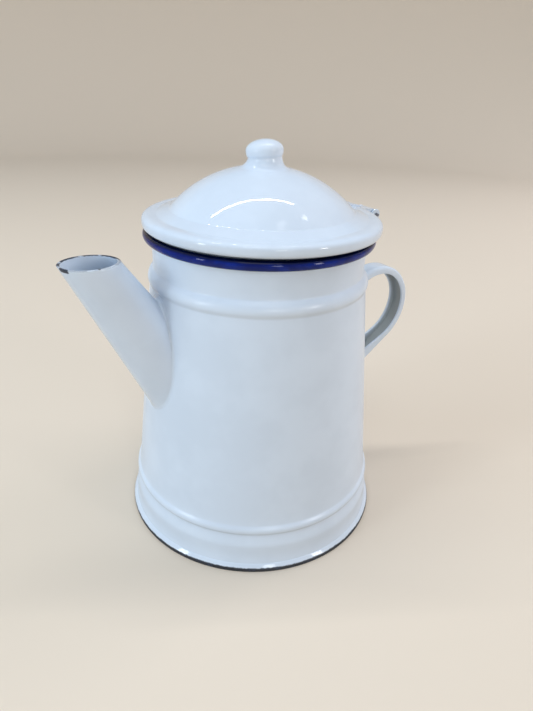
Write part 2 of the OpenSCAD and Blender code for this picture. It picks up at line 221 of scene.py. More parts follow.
def thin(points, longest, sharpest=4.0):
    """The path with fewer points: one for each `longest` of length or `sharpest` degrees of turn."""
    leg = np.diff(points, axis=0)
    length = np.linalg.norm(leg, axis=1)
    heading = np.unwrap(np.arctan2(leg[:, 1], leg[:, 0]))
    turn = np.abs(np.concatenate([[0], np.diff(heading)]))
    measure = np.concatenate([[0], np.cumsum(length / longest + turn / math.radians(sharpest))])
    wanted = np.linspace(0, measure[-1], int(measure[-1]) + 2)
    return np.stack([np.interp(wanted, measure, points[:, k]) for k in range(points.shape[1])], 1)


def from_axis(outline, width, longest, sharpest=4.0):
    """An open outline, softened and thinned, with its first and last points put back on the axis."""
    profile = thin(soften(outline, width), longest, sharpest)
    profile[[0, -1], 0] = 0
    return profile


def eased(outline, width, longest, sharpest=4.0):
    """A closed outline, softened and thinned."""
    return thin(soften(outline, width, closed=True), longest, sharpest)


def ease_in(x, width):
    """max(x, 0) with its corner rounded: x² / (2 width) as far as width, and x - width / 2 after it."""
    x = np.maximum(x, 0)
    return np.where(x < width, x * x / (2 * width), x - width / 2)


def halve(near, far, short_of, steps=40):
    """Where `short_of` stops being true between near and far, closed in on by halving the stretch."""
    for _ in range(steps):
        half = (near + far) / 2
        short = short_of(half)
        near, far = np.where(short, half, near), np.where(short, far, half)
    return near


# ---------------------------------------------------------------- meshes

def solid(name, vertices, faces, body, *nodes, slot="enamel_white"):
    """A closed mesh with its faces outwards, which rides on a body and stands for CAD nodes."""
    mesh = bpy.data.meshes.new(name)
    mesh.from_pydata(vertices * MM, [], faces)
    mesh.update()
    mesh.calc_loop_triangles()
    corner = np.empty(len(mesh.loop_triangles) * 3, np.int32)
    mesh.loop_triangles.foreach_get("vertices", corner)
    a, b, c = (vertices[corner.reshape(-1, 3)[:, k]] for k in range(3))
    if np.einsum("ij,ij->", a, np.cross(b, c)) < 0:
        mesh.flip_normals()
    mesh.polygons.foreach_set("use_smooth", np.ones(len(mesh.polygons), bool))
    piece = bpy.data.objects.new(name, mesh)
    bpy.context.scene.collection.objects.link(piece)
    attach(piece, body)
    if nodes:
        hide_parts(*nodes)
    return piece


def grid_faces(rows, columns, closed_rows):
    """Quads between neighbouring rows of a grid whose columns close on themselves."""
    r = np.arange(rows if closed_rows else rows - 1)[:, None]
    c = np.arange(columns)[None, :]
    here, right = r * columns + c, r * columns + (c + 1) % columns
    up = ((r + 1) % rows) * columns
    return np.stack([here, right, up + (c + 1) % columns, up + c], -1).reshape(-1, 4).tolist()


def skin(name, grid, body, *nodes, closed_rows=False, tips=None, **more):
    """A mesh over a grid (row, column, xyz). Open rows end in one face each, or in a tip point."""
    rows, columns = grid.shape[:2]
    vertices = grid.reshape(-1, 3)
    faces = grid_faces(rows, columns, closed_rows)
    if not closed_rows:
        first, last = np.arange(columns), (rows - 1) * columns + np.arange(columns)
        if tips is None:
            faces += [first[::-1].tolist(), last.tolist()]
        else:
            count = len(vertices)
            vertices = np.concatenate([vertices, tips])
            faces += np.stack([np.roll(first, -1), first, np.full(columns, count)], 1).tolist()
            faces += np.stack([last, np.roll(last, -1), np.full(columns, count + 1)], 1).tolist()
    return solid(name, vertices, faces, body, *nodes, **more)


def revolve(name, profile, body, *nodes, middle=0.0, count=TURNS, **more):
    """A profile (r, z) turned about the upright line x = middle: (middle + r cos t, r sin t, z).

    A profile that starts and ends on that line gets a tip at each end, and any other closes on itself.
    """
    poles = profile[0, 0] < 1e-6 and profile[-1, 0] < 1e-6
    ends = [(middle, 0, profile[k, 1]) for k in (0, -1)] if poles else None
    ring = profile[1:-1] if poles else profile
    t = all_round(count)
    r, z = ring[:, 0, None], ring[:, 1, None] + 0 * t
    grid = np.stack([middle + r * np.cos(t), r * np.sin(t), z], -1)
    return skin(name, grid, body, *nodes, closed_rows=not poles, tips=ends, **more)


# ---------------------------------------------------------------- the body

def taper_at(z):
    """Radius of the tapered wall, in a straight line between its radii at two heights."""
    share = (z - TAPER_LOW) / (HIGH_BEAD_LOW - TAPER_LOW)
    return WALL_LOW_R + (WALL_HIGH_R - WALL_LOW_R) * share


def flare_at(z):
    """Radius of the foot: an arc that is upright where it meets the skirt."""
    out = FOOT_R - SEAM_SHEET - SKIRT_R
    r = (FLARE_TOP ** 2 + out ** 2) / (2 * out)
    return SKIRT_R + r - np.sqrt(r * r - np.maximum(FLARE_TOP - z, 0) ** 2)


def bead(low, high, proud):
    """A swaged bead: a circular bump of height `proud` on the chord from low to high."""
    half = (high[1] - low[1]) / 2
    r = (half ** 2 + proud ** 2) / (2 * proud)
    share = np.linspace(0, 1, 40)
    bump = np.sqrt(r * r - ((2 * share - 1) * half) ** 2) - (r - proud)
    return np.stack([low[0] + (high[0] - low[0]) * share + bump, low[1] + (high[1] - low[1]) * share], 1)


def wall_outline():
    """Outside of the wall, from the base up to the rolled rim's underside."""
    z = np.linspace(BASE_SHEET, FLARE_TOP, 30)
    foot = np.stack([flare_at(z), z], 1)
    share = np.linspace(0, 1, 20)
    step = np.stack([SKIRT_R + (GROOVE[0] - SKIRT_R) * (1 - np.cos(math.pi * share)) / 2,
                     SKIRT_TOP + (GROOVE[1] - SKIRT_TOP) * share], 1)
    out, fade = LOW_BEAD_FADE
    z = LOW_BEAD_HIGH + fade * share
    above = np.stack([taper_at(z) + out * (1 - share) ** 2, z], 1)
    return np.concatenate([
        foot, step, bead(GROOVE, above[0], LOW_BEAD_PROUD), above,
        bead([WALL_HIGH_R, HIGH_BEAD_LOW], [NECK_R, HIGH_BEAD_HIGH], HIGH_BEAD_PROUD),
        [[NECK_R, ROLL_Z - ROLL_R]],
    ])


OUTSIDE = soften(wall_outline(), WALL_SOFT)


def wall_at(z):
    """Radius of the softened wall's outside at a height."""
    return np.interp(z, OUTSIDE[:, 1], OUTSIDE[:, 0])


def clear_of_wall(p):
    """How far points (x, y, z) stand out from the wall: their distance from the axis less its radius."""
    return np.hypot(p[:, 0], p[:, 1]) - wall_at(p[:, 2])


def make_wall():
    """The wall as one closed profile turned about the axis.

    It is made of the outside, a round roll, and the outside again, one sheet further in.
    """
    roll = arc(ROLL_X, ROLL_Z, ROLL_R, ROLL_R, ROLL_FROM, ROLL_TO, 90)
    inside = OUTSIDE[::-1] - [SHEET, 0]
    inside = inside[inside[:, 1] < ROLL_Z - 1.5 * ROLL_R]
    outline = np.concatenate([OUTSIDE[:-8], roll, inside])
    return pierce(revolve("wall", eased(outline, 0.2, 4.0), "pot", "body_shell"))


def pierce(wall):
    """The wall with its hole behind the spout, cut by a narrower cone on the spout's own axis."""
    rays = spout_rays(96)
    cone = np.stack([spout_cone(t, SPOUT_SHEET + HOLE_LEDGE, rays) for t in HOLE_SPAN])
    cutter = skin("hole_cutter", cone, "pot")
    cut = wall.modifiers.new("hole", "BOOLEAN")
    cut.operation, cut.solver, cut.object = "DIFFERENCE", "EXACT", cutter
    bpy.context.view_layer.update()
    pierced = bpy.data.meshes.new_from_object(wall.evaluated_get(bpy.context.evaluated_depsgraph_get()))
    wall.modifiers.clear()
    wall.data = pierced
    bpy.data.objects.remove(cutter)
    pierced.set_sharp_from_angle(angle=math.radians(40))
    return wall


def coat_rim(wall):
    """The faces of the rolled rim, in a second material whose darker glass throws back less light."""
    mesh = wall.data
    centre = np.empty(len(mesh.polygons) * 3)
    mesh.polygons.foreach_get("center", centre)
    x, y, z = centre.reshape(-1, 3).T / MM
    on_roll = np.hypot(np.hypot(x, y) - ROLL_X, z - ROLL_Z) < ROLL_R * 1.06
    mesh.materials.append(wall_enamel("rim_enamel", Specular_IOR_Level=0.22))
    mesh.polygons.foreach_set("material_index", on_roll.astype(np.int32))


def make_base():
    """The flat bottom, whose edge is turned up round the foot and feathered out by the enamel.

    The seam stands SEAM_SHEET out from the flare, times the 0.7th power of its share of the fade.
    """
    z = np.linspace(BASE_SHEET * 0.7, SEAM_TOP + SEAM_OVER, 12)
    fade = SEAM_SHEET * np.clip((SEAM_TOP + SEAM_OVER - z) / SEAM_FADE, 0, 1) ** 0.7
    seam = np.stack([flare_at(z) + np.minimum(fade, SEAM_SHEET), z], 1)
    outline = np.concatenate([
        [[0, 0], [FOOT_R - 0.5, 0]], seam,
        [[flare_at(SEAM_TOP) - 0.5, SEAM_TOP + 0.6],
         [flare_at(BASE_SHEET) - 0.5, BASE_SHEET],
         [0, BASE_SHEET]],
    ])
    profile = from_axis(outline, 0.16, 6.0)
    profile[:, 1] = np.maximum(profile[:, 1], 0)
    return revolve("base", profile, "pot", "base_disc")


# ---------------------------------------------------------------- the spout

def spout_rays(count):
    """Unit vectors all round the spout's axis: cos a U + sin a V, with U in the XZ plane and V along Y."""
    a = all_round(count)[:, None]
    up_side = np.array([math.sin(SPOUT_SLOPE), 0, math.cos(SPOUT_SLOPE)])
    return np.cos(a) * up_side + np.sin(a) * np.array([0, 1, 0])


def spout_cone(t, less, rays):
    """Points M + t A + (r - less + t k) ray: t down the axis A, and `less` inside the spout's outer face."""
    return SPOUT_MOUTH + t * SPOUT_DOWN + (SPOUT_R - less + t * SPOUT_TAPER) * rays


def make_spout():
    """The spout, a cone tube whose lines run from its level mouth to the wall.

    Half an ellipse joins its outside and inside at the mouth. At the wall a cove, a parabola between
    the wall and the tube, ends where a ball of radius COVE_R would touch them.
    """
    ray = spout_rays(160)
    one = np.ones((len(ray), 1))

    def at(t, less):
        """Points of the tube, t down its axis and `less` inside its outer face."""
        return spout_cone(t, less, ray)

    def mouth(less):
        """The t at which each line is level with the mouth."""
        return -(SPOUT_R - less) * ray[:, 2:] / (SPOUT_DOWN[2] + SPOUT_TAPER * ray[:, 2:])

    def meets_wall(less):
        """The t at which each line comes to the wall."""
        return halve(mouth(less), PAST_WALL * one, lambda t: clear_of_wall(at(t, less))[:, None] > 0)

    def onto_wall(p, lift):
        """The same points, moved along their radius to `lift` above the wall."""
        r = np.hypot(p[:, :1], p[:, 1:2])
        return np.concatenate([p[:, :2] * (wall_at(p[:, 2:]) + lift) / r, p[:, 2:]], 1)

    foot = at(meets_wall(0), 0)
    along = unit(SPOUT_DOWN + SPOUT_TAPER * ray)
    outward = unit(np.concatenate([unit(foot[:, :2]), WALL_LEAN * one], 1))
    ring = np.roll(foot, -1, 0) - np.roll(foot, 1, 0)
    away = unit(np.cross(ring, outward))
    away *= np.sign(np.einsum("ij,ij->i", away, foot - foot.mean(0)))[:, None]
    meeting = np.einsum("ij,ij->i", -along, away)[:, None]
    cove = np.clip(COVE_R * np.sqrt((1 + meeting) / (1 - meeting)), *COVE_REACH)
    landing = onto_wall(foot + cove * away, 0.0)
    leaving = foot - cove * along
    s = np.linspace(0, 1, 12)[:, None, None]
    fillet = (1 - s) ** 2 * landing + 2 * s * (1 - s) * (foot + COVE_LIFT * outward) + s ** 2 * leaving

    half = (at(mouth(0), 0) - at(mouth(SPOUT_SHEET), SPOUT_SHEET)) / 2
    lip_middle = at(mouth(0), 0) - half + SPOUT_LIP * SPOUT_DOWN
    turn = np.linspace(0, math.pi, 11)[:, None, None]
    lip = lip_middle + half * np.cos(turn) - SPOUT_LIP * SPOUT_DOWN * np.sin(turn)
    share = np.linspace(0, 1, 16)[1:-1, None, None]
    outer = leaving + (lip[0] - leaving) * share
    inner_end = onto_wall(at(meets_wall(SPOUT_SHEET), SPOUT_SHEET), 0.0)
    inner = lip[-1] + (inner_end - lip[-1]) * share
    rows = [onto_wall(landing, SUNK)[None], fillet, outer, lip, inner, inner_end[None],
            onto_wall(inner_end, SUNK)[None]]
    return skin("spout_tube", np.concatenate(rows), "pot", "spout", closed_rows=True)


# ---------------------------------------------------------------- the handle

def grip_path():
    """Middle line of the strap: a straight arm, two bends and a straight arm, tangent to each other.

    It runs from inside the wall below to inside the wall above. Columns: x, z, and the outward
    normal's x and z.
    """
    low_x, high_x = GRIP_REACH - GRIP_LOW_R, GRIP_REACH - GRIP_HIGH_R
    low_turn, high_turn = math.degrees(GRIP_LOW_SLOPE), math.degrees(GRIP_HIGH_SLOPE)
    lower = arc(low_x, GRIP_Z, GRIP_LOW_R, GRIP_LOW_R, low_turn - 90, 0, 160)
    upper = arc(high_x, GRIP_Z, GRIP_HIGH_R, GRIP_HIGH_R, 0, 90 + high_turn, 260)
    start = lower[0] - ARM_LENGTH * np.array([math.cos(GRIP_LOW_SLOPE), math.sin(GRIP_LOW_SLOPE)])
    end = upper[-1] - ARM_LENGTH * np.array([math.cos(GRIP_HIGH_SLOPE), math.sin(GRIP_HIGH_SLOPE)])
    path = np.concatenate([line(start, lower[0], 200), lower[1:], upper[1:], line(upper[-1], end, 200)[1:]])
    path = even(path, GRIP_STEP)
    return np.concatenate([path, right_of(np.gradient(path, axis=0))], 1)


def strap_outline():
    """The strap's section (outward, across), a channel.

    Its back turns through quarter rounds into its two flanges, and does so again one thickness further in.
    """
    w, d, r = STRAP_W / 2, STRAP_D / 2, STRAP_T + 0.5
    out = arc(d - r, w - r, r, r, 90, 0, 16)
    hollow = arc(d - r, w - r, r - STRAP_T, r - STRAP_T, 0, 90, 8)
    half = np.concatenate([[[-d, w]], out])
    inner = np.concatenate([hollow, [[-d, w - STRAP_T]]])
    flip = np.array([1, -1])
    return np.concatenate([half, half[::-1] * flip, inner[::-1] * flip, inner])


def make_handle():
    """The strap: its section carried along the grip's path, each line scribed to the wall.

    Next to the wall the section grows by WELD times the square of what is left of WELD_REACH. The point
    attribute made here is 1 down in the channel, and fades to 0 at its sides and edges; it masks the painted
    shade in the channel.
    """
    path = grip_path()
    section = eased(strap_outline(), 0.3, 0.9, 12)
    spread = right_of(np.roll(section, -1, 0) - np.roll(section, 1, 0))
    if (spread * section)[section[:, 0].argmax()].sum() < 0:
        spread = -spread
    station = np.arange(len(path)) * GRIP_STEP
    floor = STRAP_D / 2 - STRAP_T
    share_of_flange = np.clip((floor - section[:, 0]) / (floor + STRAP_D / 2), 0, 1)

    def at(s, grow):
        """Points of the strap at lengths s along its path, the section grown outwards by `grow`.

        On an arm the flanges reach deeper by ARM_FLARE times the distance from the bend.
        """
        x, z, nx, nz = (np.interp(s, station, path[:, k]) for k in range(4))
        past_bend = np.maximum(ARM_LENGTH - s, s - (station[-1] - ARM_LENGTH))
        deeper = ARM_FLARE * ease_in(past_bend, 3.0) * share_of_flange
        out = section[:, 0] - deeper + grow * spread[:, 0]
        return np.stack([x + nx * out, section[:, 1] + grow * spread[:, 1] + 0 * s, z + nz * out], -1)

    def meets_wall(inside, outside):
        """The s at which each line comes out of the wall, between one inside it and one outside."""
        near, far = np.full(len(section), inside), np.full(len(section), outside)
        return halve(near, far, lambda s: clear_of_wall(at(s, 0)) < 0, 30)

    middle = station[-1] * 0.55
    low, high = meets_wall(GRIP_START, middle), meets_wall(station[-1] - 0.5, middle)
    near = np.array([-0.6, 0, 0.12, 0.3, 0.55, 0.9, 1.35, 1.9, WELD_REACH])     # rows beside the wall
    grow = WELD * (1 - np.clip(near, 0, WELD_REACH) / WELD_REACH) ** 2
    share = np.linspace(0, 1, 110)[1:-1]
    rows = [at(low + d, g) for d, g in zip(near, grow)]
    rows += [at(low + WELD_REACH + (high - low - 2 * WELD_REACH) * k, 0) for k in share]
    rows += [at(high - d, g) for d, g in zip(near[::-1], grow[::-1])]
    grip = skin("grip", np.stack(rows), "pot", "handle")
    # mask of the painted shade down in the channel
    across = np.clip((STRAP_W / 2 - 0.7 - np.abs(section[:, 1])) / 0.9, 0, 1)
    inward = np.clip((floor + 0.6 - section[:, 0]) / 0.4, 0, 1)
    inward *= np.clip((section[:, 0] + STRAP_D / 2) / 1.6, 0, 1)
    channel_shade = grip.data.attributes.new("channel_shade", "FLOAT", "POINT")
    channel_shade.data.foreach_set("value", np.tile(across * inward, len(rows)).astype(np.float32))
    return grip


def foot_height(r, slope, side):
    """Height at which the straight arm past the upper (side 1) or lower (side -1) bend meets the wall.

    The arm's line is followed to the wall's radius at the last height, again and again.
    """
    x = GRIP_REACH - r - side * r * math.sin(slope)
    z = GRIP_Z + side * r * math.cos(slope)
    for _ in range(20):
        wall = float(wall_at(z))
        z -= (x - wall) * math.tan(slope)
        x = wall
    return z


def make_grip_foot(name, z_middle):
    """A tab that hugs the wall: two half rounds and straight sides, in rings that shrink to the middle.

    A ring at share s of the outline stands STRAP_T (1 - s^14)^0.6 above the wall; the last ones turn under.
    """
    half_w, half_h = GRIP_FOOT_W / 2, GRIP_FOOT_H / 2
    t = all_round(96)
    y, z = half_w * np.cos(t), half_w * np.sin(t) + np.sign(np.sin(t)) * (half_h - half_w)
    share = np.sin(np.linspace(0.05, math.pi / 2, 24))[:, None]
    lift = STRAP_T * (1 - share ** 14) ** 0.6
    under = np.array([1.0, 0.6, 0.1])[:, None]
    scale = np.concatenate([share, under])
    height = np.concatenate([lift, np.full_like(under, GRIP_FOOT_SUNK)])
    y, z = y * scale, z_middle + z * scale
    r = wall_at(z) + height
    grid = np.stack([np.sqrt(r * r - y * y), y, z], -1)
    tip = [[wall_at(z_middle) + h, 0, z_middle] for h in (STRAP_T, GRIP_FOOT_SUNK)]
    return skin(name, grid, "pot", "handle", tips=tip)


# ---------------------------------------------------------------- the lid

def flange_outline(less):
    """The flange's section at a depth: x = W c^(2/n), z = H s^(2/n), for the cosine and sine of an angle."""
    t = np.radians(np.linspace(LIP_ANGLE, 90, 90))
    x = FLANGE_W * np.abs(np.cos(t)) ** (2 / FLANGE_POWER)
    z = np.where(t > 0, FLANGE_H, -FLANGE_DROP) * np.abs(np.sin(t)) ** (2 / FLANGE_POWER)
    path = even(np.stack([FLANGE_X + x, FLANGE_Z + z], 1), 0.1)
    return path - less * right_of(np.gradient(path, axis=0))


def lid_outline(less):
    """The lid's sheet at a depth: turned-down flange, shallow ring and dome, from its lip to the axis."""
    lean = math.atan2(CREASE_Z - CROWN_Z, FLANGE_X - CREASE_R)
    shift = -less * np.array([math.sin(lean), math.cos(lean)])
    ring = line(np.array([FLANGE_X, CROWN_Z]), np.array([CREASE_R, CREASE_Z]), 30)[1:-1] + shift
    start = math.degrees(math.acos(CREASE_R / DOME_R))
    dome = arc(0, DOME_Z, DOME_R - less, DOME_R - less, start, 90, 90)
    return np.concatenate([flange_outline(less), ring, dome])


def make_lid():
    """The pressed lid, outer face and inner face in one closed profile."""
    outline = np.concatenate([lid_outline(0)[::-1], lid_outline(LID_SHEET)])
    profile = from_axis(outline, ENAMEL_SOFT, 3.0, 3.0)
    return revolve("lid", profile, "lid", "lid_shell", middle=SET_BACK)


def make_collar():
    """The ring inside the mouth, an upright strip that runs up into the underside of the lid."""
    inner, low, high = COLLAR_R - COLLAR_SHEET, BODY_TOP - COLLAR_DROP, CROWN_Z - 0.3
    outline = np.array([[inner, high], [inner, low], [COLLAR_R, low], [COLLAR_R, high]])
    return revolve("collar", eased(outline, 0.25, 2.0, 10), "lid", "lid_collar", middle=SET_BACK)


def make_knob():
    """The knob: quarter ellipses for its domed head, its underside and the foot that runs out on the dome."""
    edge = DOME_Z + math.sqrt(DOME_R ** 2 - KNOB_FOOT_R ** 2) + 0.12
    outline = np.concatenate([
        [[0, KNOB_TOP]],
        arc(0, KNOB_HEAD_Z, KNOB_HEAD_R, KNOB_TOP - KNOB_HEAD_Z, 89, 0, 60),
        arc(KNOB_WAIST_R, KNOB_HEAD_Z, KNOB_HEAD_R - KNOB_WAIST_R, KNOB_HEAD_Z - KNOB_WAIST_Z, 0, -80, 20),
        arc(KNOB_FOOT_R, KNOB_WAIST_Z, KNOB_FOOT_R - KNOB_WAIST_R, KNOB_WAIST_Z - edge, 180, 262, 40),
        [[KNOB_FOOT_R, edge - 0.5], [0, DOME_TOP - 1.5]],
    ])
    knob = revolve("lid_knob", from_axis(outline, 0.3, 1.2), "lid", "knob", middle=SET_BACK, count=120)
    lean_head(knob)
    return knob


def lean_head(knob):
    """The knob's head leans a little, from an old knock: the higher a ring, the further it turns.

    It turns about the waist's middle, by KNOB_LEAN times a smooth step of its height.
    """
    waist = np.array([SET_BACK, 0, KNOB_WAIST_Z])
    p = corners(knob.data) - waist
    across = np.array([math.cos(KNOB_LEAN_COMPASS), -math.sin(KNOB_LEAN_COMPASS), 0])
    share = np.clip((p[:, 2] - KNOB_LEAN_LOW) / KNOB_LEAN_SPAN, 0, 1)
    angle = KNOB_LEAN * share * share * (3 - 2 * share)
    side, high = p @ across, p[:, 2].copy()
    p += (side * (np.cos(angle) - 1) - high * np.sin(angle))[:, None] * across
    p[:, 2] += side * np.sin(angle) + high * (np.cos(angle) - 1)
    knob.data.vertices.foreach_set("co", ((p + waist) * MM).ravel())
    knob.data.update()


# ---------------------------------------------------------------- the hinge

def slab(name, outline, y_low, y_high, body, *nodes, edge=0.45, **more):
    """An outline (x, z) carried straight across from y_low to y_high, with its edges rounded."""
    x, z = outline.T
    sides = [np.stack([x, np.full_like(x, y), z], 1) for y in (y_low, y_high)]
    piece = skin(name, np.stack(sides), body, *nodes, **more)
    round_edges(piece, edge)
    return piece


def round_edges(piece, width):
    """A bevel on every edge sharper than 40 degrees, and normals that keep the flats flat."""
    bevel = piece.modifiers.new("rounding", "BEVEL")
    bevel.width, bevel.segments, bevel.limit_method = width * MM, 4, "ANGLE"
    bevel.angle_limit = math.radians(40)
    normals = piece.modifiers.new("normals", "WEIGHTED_NORMAL")
    normals.keep_sharp = False


def make_leaf():
    """The tab on the lid: it hugs the ring and the flange, and runs straight into the rolled knuckle.

    Its top leaves the flange on the line that touches the knuckle's circle.
    """
    def along_lid(less, lowest):
        """The lid's outline at a depth, from the leaf's inner end down to a height."""
        path = lid_outline(less)
        return path[(path[:, 1] > lowest) & (path[:, 0] > CREASE_R + LEAF_START)] + [SET_BACK, 0]

    hug = along_lid(-LEAF_OVER, FLANGE_Z + FLANGE_H * 0.45)
    under = along_lid(LEAF_UNDER, FLANGE_Z - 0.5)
    reach, drop = HINGE_X - hug[0, 0], hug[0, 1] - HINGE_Z
    tilt = math.degrees(math.atan(drop / reach) - math.asin(KNUCKLE_R / math.hypot(reach, drop)))
    knuckle = arc(HINGE_X, HINGE_Z, KNUCKLE_R, KNUCKLE_R, 90 - tilt, -205, 50)
    outline = np.concatenate([thin(hug, 1.5, 8)[::-1], knuckle, thin(under, 1.5, 8)])
    return slab("hinge_tab", outline, -LEAF_W / 2, LEAF_W / 2, "lid", "hinge_leaf")


def make_ears():
    """The two ears that hold the pin, from the neck out under the rim and up to it.

    An ear's outer edge is the line from (rise, BRACKET_LOW) that touches its round end.
    """
    rise = NECK_R + 4
    run, climb = HINGE_X - rise, HINGE_Z - BRACKET_LOW
    lean = math.degrees(math.atan(run / climb) + math.asin(EAR_R / math.hypot(run, climb)))
    outline = np.concatenate([
        [[NECK_R - 0.6, BRACKET_LOW], [rise, BRACKET_LOW]],
        arc(HINGE_X, HINGE_Z, EAR_R, EAR_R, -lean, 180, 40),
        [[HINGE_X - EAR_R, HINGE_Z - EAR_R], [RIM_R + 1.8, BRACKET_HIGH], [NECK_R - 0.6, BRACKET_HIGH]],
    ])
    ears = []
    for name, side in (("near_ear", -1), ("far_ear", 1)):
        a, b = sorted((side * EAR_Y, side * (EAR_Y + EAR_T)))
        ears.append(slab(name, outline, a, b, "pot", "hinge_bracket", edge=0.35))
    return ears


def make_saddle():
    """The bracket's saddle: a band on the neck, (r cos t, r sin t), softened at its edges."""
    low, high = BRACKET_LOW, BRACKET_HIGH
    outline = np.array([[-0.4, low], [EAR_T, low], [EAR_T, high], [-0.4, high]])
    section = eased(outline, 0.25, 1.5, 12)
    t = np.arcsin(np.linspace(-1, 1, 40) * (EAR_Y + EAR_T) / NECK_R)[:, None]
    r = NECK_R + section[:, 0]
    grid = np.stack([r * np.cos(t), r * np.sin(t), section[:, 1] + 0 * t], -1)
    return skin("saddle", grid, "pot", "hinge_bracket")


def make_pin():
    """The wire pin, (r cos t, y, r sin t) about its own line, with eased ends."""
    end = EAR_Y + EAR_T + PIN_OUT
    profile = from_axis(np.array([[0, -end], [PIN_R, -end], [PIN_R, end], [0, end]]), 0.2, 1.5, 10)
    t = all_round(40)
    ring = profile[1:-1]
    grid = np.stack([HINGE_X + ring[:, :1] * np.cos(t), ring[:, 1:] + 0 * t,
                     HINGE_Z + ring[:, :1] * np.sin(t)], -1)
    tips = [[HINGE_X, profile[k, 1], HINGE_Z] for k in (0, -1)]
    return skin("pin", grid, "pot", "hinge_pin", tips=tips, slot="pin_steel")


# ---------------------------------------------------------------- materials

class Signal:
    """One output of a shader node. Arithmetic on it adds Math nodes."""

    def __init__(self, paint, socket):
        self.paint, self.socket = paint, socket

    def math(self, operation, *values):
        """A Math node over the given values or signals."""
        return self.paint.node("Math", {"operation": operation}, dict(enumerate(values)))

    def __add__(self, other):
        return self.math("ADD", self, other)

    def __mul__(self, other):
        return self.math("MULTIPLY", self, other)

    def __sub__(self, other):
        return self.math("SUBTRACT", self, other)

    def __rsub__(self, other):
        return self.math("SUBTRACT", other, self)

    __radd__, __rmul__ = __add__, __mul__

    def most(self, other):
        """The greater of the two."""
        return self.math("MAXIMUM", self, other)

    def root(self):
        """Square root."""
        return self.math("SQRT", self)

    def rising(self, low, high):
        """0 below low, 1 above high, and a smooth step between them."""
        return self.paint.node("MapRange", {"interpolation_type": "SMOOTHSTEP"},
                               {"Value": self, "From Min": low, "From Max": high})


class Paint:
    """A material being mixed: a Principled shader, and nodes that feed it."""

    def __init__(self, name, **constants):
        self.material = bpy.data.materials.new(name)
        self.material.use_nodes = True
        self.tree = self.material.node_tree
        self.shader = self.tree.nodes["Principled BSDF"]
        self.set(**constants)
        self.place = self.node("TexCoord", output="Object")

    def node(self, kind, settings=None, values=None, output=0):
        """A new node of a kind, with its settings first and then its sockets' values or links."""
        made = self.tree.nodes.new("ShaderNode" + kind)
        for key, value in (settings or {}).items():
            setattr(made, key, value)
        for key, value in (values or {}).items():
            self.feed(made.inputs[key], value)
        return Signal(self, made.outputs[output])

    def feed(self, socket, value):
        """A link from a signal, or else a plain value."""
        if isinstance(value, Signal):
            self.tree.links.new(value.socket, socket)
        else:
            socket.default_value = value

    def set(self, **sockets):
        """Constants and links of the Principled shader; a socket's name has _ for each space."""
        for key, value in sockets.items():
            self.feed(self.shader.inputs[key.replace("_", " ")], value)

    def axes(self):
        """x, y and z of the surface, in millimetres."""
        return [self.node("SeparateXYZ", values={0: self.place}, output=k) * (1 / MM) for k in range(3)]

    def noise(self, size, detail=2.0, rough=0.5, stretch=None):
        """Noise whose blobs are about `size` millimetres across; `stretch` scales its axes."""
        place = self.place
        if stretch:
            place = self.node("VectorMath", {"operation": "MULTIPLY"}, {0: place, 1: stretch})
        return self.node("TexNoise", values={"Vector": place, "Scale": 1 / (size * MM), "Detail": detail,
                                             "Roughness": rough})

    def mix(self, share, first, second):
        """A colour between two, by share."""
        return self.node("Mix", {"data_type": "RGBA"}, {0: share, 6: first, 7: second}, output=2)

    def worn(self, share, enamel_colour, under_colour):
        """Enamel where share is 0, and the duller ground coat or steel under it where share is 1; the lid's
        and base's masks also carry painted shade through it.
        """
        self.set(Base_Color=self.mix(share, enamel_colour, under_colour), Roughness=GLOSS + share * 0.4)

    def bump(self, *layers):
        """Height layers (signal, millimetres) as a chain of Bump nodes."""
        normal = None
        for height, depth in layers:
            values = {"Height": height, "Strength": 1.0, "Distance": depth * MM}
            if normal:
                values["Normal"] = normal
            normal = self.node("Bump", values=values)
        self.set(Normal=normal)


def from_line(x, y, middle_x=0.0, middle_y=0.0):
    """Distance of the surface from the upright line through (middle_x, middle_y), in millimetres."""
    across, back = x - middle_x, y - middle_y
    return (across * across + back * back).root()


def tint(r, g, b):
    """A screen colour, 0 to 255, as the linear light that a shader takes."""
    share = np.array([r, g, b]) / 255
    linear = np.where(share <= 0.04045, share / 12.92, ((share + 0.055) / 1.055) ** 2.4)
    return (*map(float, linear), 1.0)


WHITE, WHITE_SHADE = tint(213, 226, 241), tint(208, 221, 236)
# painted shade: the grey laid down in the strap's channel, where the recess lies in shade
CHANNEL_SHADE_GREY = tint(158, 165, 166)
# the last cobalt is painted shadow: the rim's top, near-black where the lid's flange shades it
COBALT, COBALT_DEEP, COBALT_UNDER_LID_SHADOW = tint(0, 36, 130), tint(0, 22, 98), tint(1, 5, 26)
BARE_STEEL, SCALE_BLUE = tint(30, 34, 42), tint(44, 58, 80)
WIRE_DARK, WIRE_LIGHT = tint(92, 95, 104), tint(132, 136, 146)
GLOSS, WALL_GLOSS = 0.05, 0.27         # roughness of fresh enamel, and of the more often scoured wall
CHIPS = ((-85.4, -3.6, 1.6), (-84.2, -5.2, 1.3), (-73.2, -9.3, 0.6))   # x, y and radius, on the spout's lip


def enamel(name, **constants):
    """White vitreous enamel: a cloudy white, a faint orange peel, slow waves and a few pinholes."""
    paint = Paint(name, **{"Roughness": GLOSS, "IOR": 1.52, **constants})
    cloud = paint.noise(26, 3, 0.6).rising(0.35, 0.65)
    white = paint.mix(cloud, WHITE, WHITE_SHADE)
    cells = {"Vector": paint.place, "Scale": 1 / (9 * MM)}
    speck = paint.node("TexVoronoi", {"feature": "F1"}, cells, "Distance")
    chosen = paint.noise(7, 0).rising(0.68, 0.7)
    pinhole = (1 - speck.rising(0.018, 0.04)) * chosen
    paint.bump((paint.noise(38, 1), 0.22), (paint.noise(2.6, 1), 0.006))
    return paint, paint.mix(pinhole * 0.55, white, BARE_STEEL)


def plain_enamel():
    """White enamel with no wear."""
    paint, white = enamel("white_enamel")
    paint.set(Base_Color=white)
    return paint.material


